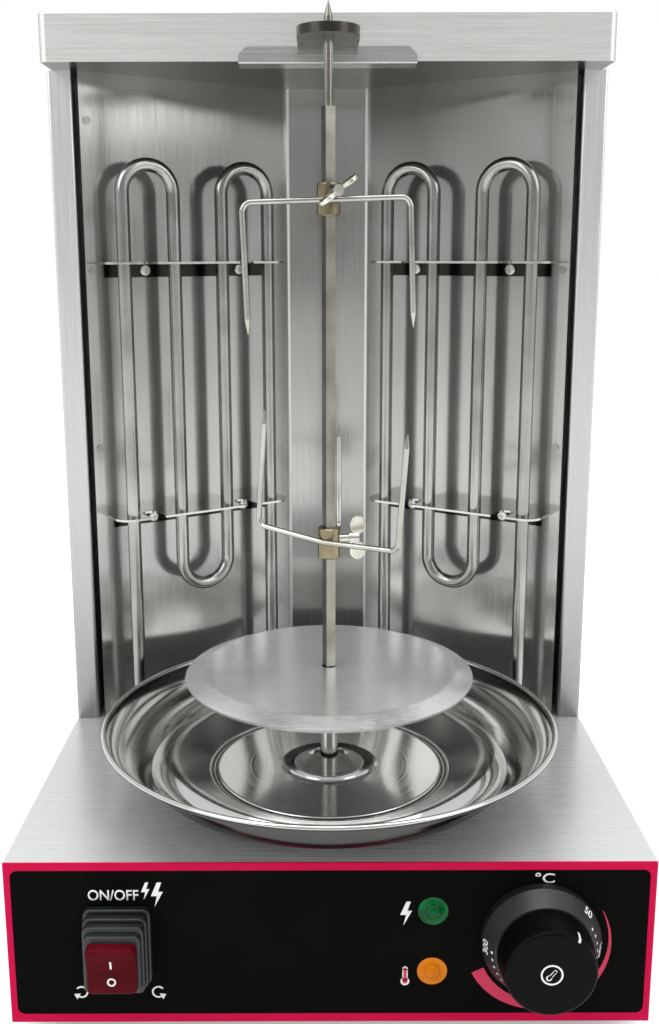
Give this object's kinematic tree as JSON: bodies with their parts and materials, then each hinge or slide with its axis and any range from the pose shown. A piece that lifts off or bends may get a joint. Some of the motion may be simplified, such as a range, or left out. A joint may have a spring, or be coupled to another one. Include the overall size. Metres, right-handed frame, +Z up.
{
  "type": "electric skewer grill",
  "caption": "Upright electric grill with a turning spindle, pronged forks, a meat disc, a drip tray, rod heaters on a folded reflector and a base with switch, lamps and thermostat.",
  "frame": {"origin": "centre of the footprint at the underside of the feet", "axes": "+Z up along the spindle, front with the controls towards -Y, +X to the right seen from the front"},
  "size_m": [0.3, 0.2958, 0.4864],
  "materials": {
    "stainless_body": "brushed",
    "stainless_reflector": "bright rolled",
    "galvanised_plate": "galvanised",
    "panel_overlay": "printed satin black with red edge",
    "foot_rubber": "matte",
    "zinc_screw": "zinc plated",
    "rivet_steel": "domed",
    "heater_steel": "heat tinted",
    "ceramic": "glazed ceramic",
    "black_plastic": "moulded",
    "brass": "turned",
    "motor_grey": "painted",
    "turned_steel": "turned",
    "boot_rubber": "smooth",
    "red_translucent": "translucent",
    "knob_plastic": "moulded",
    "green_lens": "translucent",
    "amber_lens": "translucent",
    "white_plastic": "moulded",
    "polished_steel": "polished stainless",
    "wire_steel": "drawn wire",
    "wing_steel": "plated"
  },
  "bodies": {
    "housing": {"base_housing": "stainless_body", "bottom_plate": "galvanised_plate", "control_panel": "panel_overlay", "feet": "foot_rubber", "foot_screws": "zinc_screw", "bottom_screws": "zinc_screw", "left_side_panel": "stainless_body", "right_side_panel": "stainless_body", "rear_panel": "stainless_body", "rear_screws": "zinc_screw", "reflector": "stainless_reflector", "reflector_rails": "galvanised_plate", "reflector_rivets": "rivet_steel", "ceiling_plate": "stainless_body", "ceiling_screws": "zinc_screw", "top_cover": "stainless_body", "cover_screws": "zinc_screw", "bearing_bracket": "stainless_body", "bracket_screws": "zinc_screw", "left_heater": "heater_steel", "right_heater": "heater_steel", "heater_bushes": "ceramic", "heater_terminals": "ceramic", "carrier_screws": "zinc_screw", "tray_seat": "black_plastic", "drive_bush": "brass", "gear_motor": "motor_grey", "motor_bracket": "galvanised_plate", "motor_screws": "zinc_screw", "bracket_bolts": "zinc_screw", "switch_housing": "black_plastic", "switch_boot": "boot_rubber", "thermostat_body": "motor_grey", "thermostat_dial": "black_plastic", "green_lens": "green_lens", "amber_lens": "amber_lens", "lamp_bodies": "black_plastic", "terminal_block": "white_plastic", "cable_gland": "black_plastic", "right_upper_carrier": "stainless_body", "left_upper_carrier": "stainless_body", "right_lower_carrier": "stainless_body", "left_lower_carrier": "stainless_body"},
    "drive": {"motor_shaft": "turned_steel", "drive_coupling": "turned_steel"},
    "spindle": {"spindle_hub": "turned_steel", "meat_disc": "polished_steel", "spindle_bar": "turned_steel"},
    "upper_fork_set": {"upper_collar": "brass", "upper_fork": "wire_steel"},
    "lower_fork_set": {"lower_collar": "brass", "lower_fork": "wire_steel", "rear_prong": "wire_steel"},
    "upper_screw": {"upper_wing_screw": "wing_steel"},
    "lower_screw": {"lower_wing_screw": "wing_steel"},
    "tray": {"drip_tray": "polished_steel"},
    "switch_key": {"rocker": "red_translucent"},
    "dial_knob": {"thermostat_shaft": "turned_steel", "thermostat_knob": "knob_plastic"}
  },
  "joints": [
    {"name": "drive_spin", "type": "hinge", "parent": "housing", "child": "drive", "pos_m": [0, -0.03055, 0.102], "axis": [0, 0, 1], "continuous": true},
    {"name": "spindle_lift", "type": "slide", "parent": "drive", "child": "spindle", "axis": [0, 0, 1], "range_m": [0, 0.03]},
    {"name": "upper_fork_slide", "type": "slide", "parent": "spindle", "child": "upper_fork_set", "axis": [0, 0, 1], "range_m": [-0.05, 0.03]},
    {"name": "lower_fork_slide", "type": "slide", "parent": "spindle", "child": "lower_fork_set", "axis": [0, 0, 1], "range_m": [-0.05, 0.03]},
    {"name": "upper_screw_turn", "type": "hinge", "parent": "upper_fork_set", "child": "upper_screw", "pos_m": [0, -0.03055, 0.3952], "axis": [0.309, -0.9511, 0], "range_deg": [0, 360]},
    {"name": "lower_screw_turn", "type": "hinge", "parent": "lower_fork_set", "child": "lower_screw", "pos_m": [0, -0.03055, 0.225], "axis": [0.9903, 0.1392, 0], "range_deg": [0, 360]},
    {"name": "tray_lift", "type": "slide", "parent": "housing", "child": "tray", "axis": [0, 0, 1], "range_m": [0, 0.02]},
    {"name": "rocker_tilt", "type": "hinge", "parent": "housing", "child": "switch_key", "pos_m": [-0.0983, -0.12505, 0.053], "axis": [-1, 0, 0], "range_deg": [0, 12]},
    {"name": "knob_turn", "type": "hinge", "parent": "housing", "child": "dial_knob", "pos_m": [0.0973, -0.13605, 0.056], "axis": [0, 1, 0], "range_deg": [-35, 250]}
  ]
}
